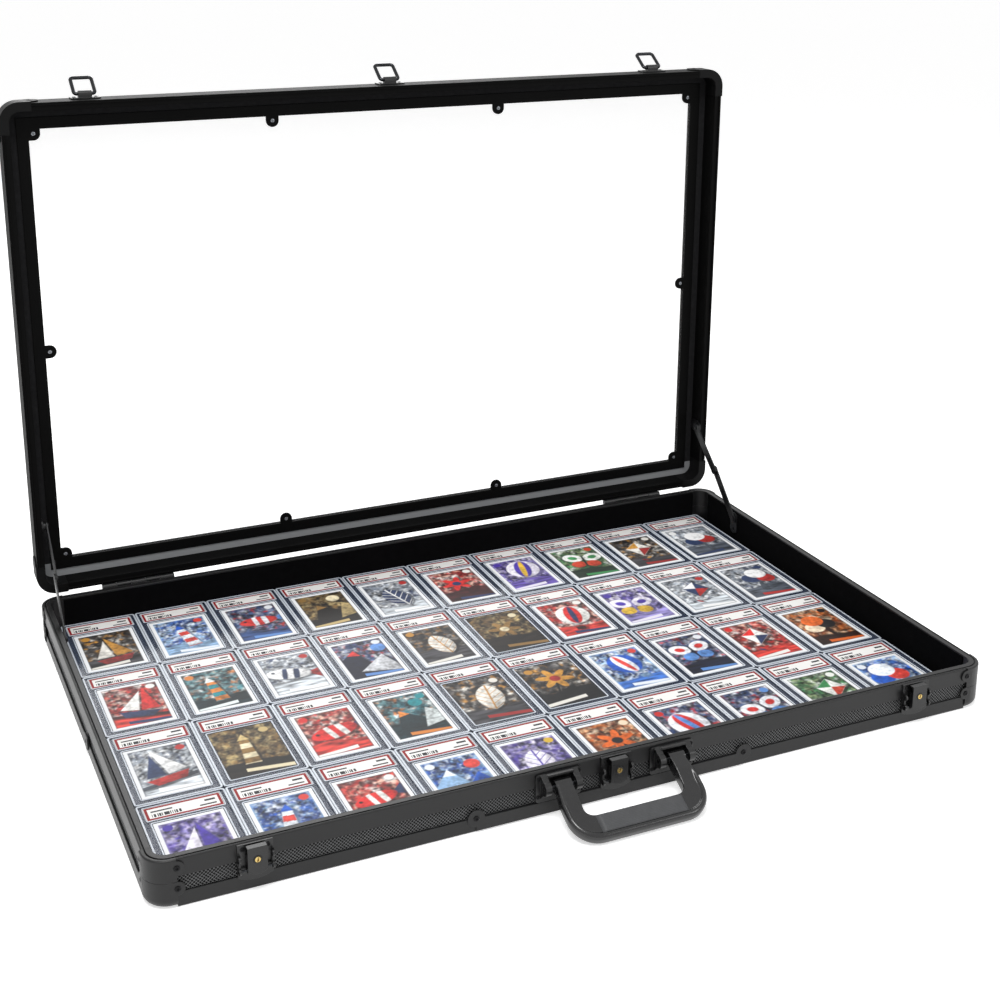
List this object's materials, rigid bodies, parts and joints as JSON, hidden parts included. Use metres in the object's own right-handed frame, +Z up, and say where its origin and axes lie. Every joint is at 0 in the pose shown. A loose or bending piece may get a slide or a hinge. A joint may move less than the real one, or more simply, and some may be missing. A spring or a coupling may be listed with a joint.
{
  "type": "trading card display case",
  "caption": "Hinged shallow display case with a clear lid window, black metal frame, key latches, folding lid stays, a carrying handle and rows of card holders.",
  "frame": {"origin": "middle of the underside of the base tray", "axes": "+X along the width, -Y to the front with the handle, +Z up; the lid stands open at rest"},
  "size_m": [0.867, 0.6562, 0.617],
  "materials": {
    "frame_metal": "black anodised, satin",
    "textured_sheet": "embossed fine diamond mesh",
    "moulded_black": "fine moulded grain",
    "bottom_sheet": "smooth black sheet",
    "felt": "black felt",
    "latch_black": "black powder coat",
    "bright_steel": "bright nickel plate",
    "black_nickel": "black nickel plate",
    "stay_black": "blackened steel strip",
    "clear_sheet": "clear acrylic",
    "grey_foam": "closed cell foam strip",
    "key_brass": "turned brass",
    "grip_rubber": "soft grey rubber",
    "holder_clear": "clear polystyrene",
    "label_paper": "white label with a red border",
    "card_board": "printed card"
  },
  "bodies": {
    "base": {"upper_rail_front": "frame_metal", "upper_rail_back": "frame_metal", "upper_rail_left": "frame_metal", "upper_rail_right": "frame_metal", "side_panel_front": "textured_sheet", "side_panel_back": "textured_sheet", "side_panel_left": "textured_sheet", "side_panel_right": "textured_sheet", "lower_rail_front": "frame_metal", "lower_rail_back": "frame_metal", "lower_rail_left": "frame_metal", "lower_rail_right": "frame_metal", "upper_corners": "moulded_black", "lower_corners": "moulded_black", "front_skirt": "moulded_black", "side_bosses": "moulded_black", "bottom_panel": "bottom_sheet", "floor_felt": "felt", "wall_lining": "felt", "latch_plates": "latch_black", "latch_pins": "bright_steel", "handle_brackets": "latch_black", "handle_pins": "bright_steel", "hinge_base_leaves": "latch_black", "hinge_pins": "bright_steel", "stay_base_brackets": "stay_black"},
    "lid": {"lid_rail_front": "frame_metal", "lid_rail_back": "frame_metal", "lid_rail_left": "frame_metal", "lid_rail_right": "frame_metal", "lid_corners": "moulded_black", "lid_window": "clear_sheet", "lid_foam": "grey_foam", "lid_retainer": "latch_black", "ring_brackets": "latch_black", "hinge_lid_leaves": "latch_black", "stay_lid_brackets": "stay_black"},
    "stay_lower_left": {"stay_lower_left": "stay_black"},
    "stay_lower_right": {"stay_lower_right": "stay_black"},
    "stay_upper_left": {"stay_upper_left": "stay_black"},
    "stay_upper_right": {"stay_upper_right": "stay_black"},
    "ring_left": {"ring_left": "black_nickel"},
    "ring_centre": {"ring_centre": "black_nickel"},
    "ring_right": {"ring_right": "black_nickel"},
    "lever_left": {"lever_left": "latch_black"},
    "lever_centre": {"lever_centre": "latch_black"},
    "lever_right": {"lever_right": "latch_black"},
    "key_left": {"key_left": "key_brass"},
    "key_centre": {"key_centre": "key_brass"},
    "key_right": {"key_right": "key_brass"},
    "handle": {"handle_body": "moulded_black", "handle_grip": "grip_rubber"},
    "cards": {"holder_shells": "holder_clear", "holder_labels": "label_paper", "holder_cards": "card_board"}
  },
  "joints": [
    {"name": "lid_hinge", "type": "hinge", "parent": "base", "child": "lid", "pos_m": [0, 0.276, 0.0465], "axis": [-1, 0, 0], "range_deg": [-90, 0]},
    {"name": "stay_lower_left_pivot", "type": "hinge", "parent": "base", "child": "stay_lower_left", "pos_m": [-0.42, 0.1845, 0.035], "axis": [1, 0, 0], "range_deg": [-54.16, 0]},
    {"name": "stay_upper_left_pivot", "type": "hinge", "parent": "lid", "child": "stay_upper_left", "pos_m": [-0.418, 0.28, 0.129], "axis": [-1, 0, 0], "range_deg": [-26.2, 0]},
    {"name": "stay_lower_right_pivot", "type": "hinge", "parent": "base", "child": "stay_lower_right", "pos_m": [0.42, 0.1845, 0.035], "axis": [1, 0, 0], "range_deg": [-54.16, 0]},
    {"name": "stay_upper_right_pivot", "type": "hinge", "parent": "lid", "child": "stay_upper_right", "pos_m": [0.418, 0.28, 0.129], "axis": [-1, 0, 0], "range_deg": [-26.2, 0]},
    {"name": "ring_left_pivot", "type": "hinge", "parent": "lid", "child": "ring_left", "pos_m": [-0.342, 0.2945, 0.6005], "axis": [-1, 0, 0], "range_deg": [-145, 0]},
    {"name": "lever_left_pivot", "type": "hinge", "parent": "base", "child": "lever_left", "pos_m": [-0.342, -0.278, 0.022], "axis": [1, 0, 0], "range_deg": [0, 70]},
    {"name": "key_left_turn", "type": "hinge", "parent": "lever_left", "child": "key_left", "pos_m": [-0.342, -0.28, 0.033], "axis": [0, -1, 0], "range_deg": [0, 90]},
    {"name": "ring_centre_pivot", "type": "hinge", "parent": "lid", "child": "ring_centre", "pos_m": [0, 0.2945, 0.6005], "axis": [-1, 0, 0], "range_deg": [-145, 0]},
    {"name": "lever_centre_pivot", "type": "hinge", "parent": "base", "child": "lever_centre", "pos_m": [0, -0.278, 0.022], "axis": [1, 0, 0], "range_deg": [0, 70]},
    {"name": "key_centre_turn", "type": "hinge", "parent": "lever_centre", "child": "key_centre", "pos_m": [0, -0.28, 0.033], "axis": [0, -1, 0], "range_deg": [0, 90]},
    {"name": "ring_right_pivot", "type": "hinge", "parent": "lid", "child": "ring_right", "pos_m": [0.342, 0.2945, 0.6005], "axis": [-1, 0, 0], "range_deg": [-145, 0]},
    {"name": "lever_right_pivot", "type": "hinge", "parent": "base", "child": "lever_right", "pos_m": [0.342, -0.278, 0.022], "axis": [1, 0, 0], "range_deg": [0, 70]},
    {"name": "key_right_turn", "type": "hinge", "parent": "lever_right", "child": "key_right", "pos_m": [0.342, -0.28, 0.033], "axis": [0, -1, 0], "range_deg": [0, 90]},
    {"name": "handle_pivot", "type": "hinge", "parent": "base", "child": "handle", "pos_m": [0, -0.2815, 0.032], "axis": [-1, 0, 0], "range_deg": [0, 70]},
    {"name": "cards_lift", "type": "slide", "parent": "base", "child": "cards", "axis": [0, 0, 1], "range_m": [0, 0.12]}
  ],
  "couplings": [
    {"joint": "stay_lower_left_pivot", "follows": "lid_hinge", "ratio": 0.60171},
    {"joint": "stay_upper_left_pivot", "follows": "lid_hinge", "ratio": 0.29103},
    {"joint": "stay_lower_right_pivot", "follows": "lid_hinge", "ratio": 0.60171},
    {"joint": "stay_upper_right_pivot", "follows": "lid_hinge", "ratio": 0.29103}
  ]
}
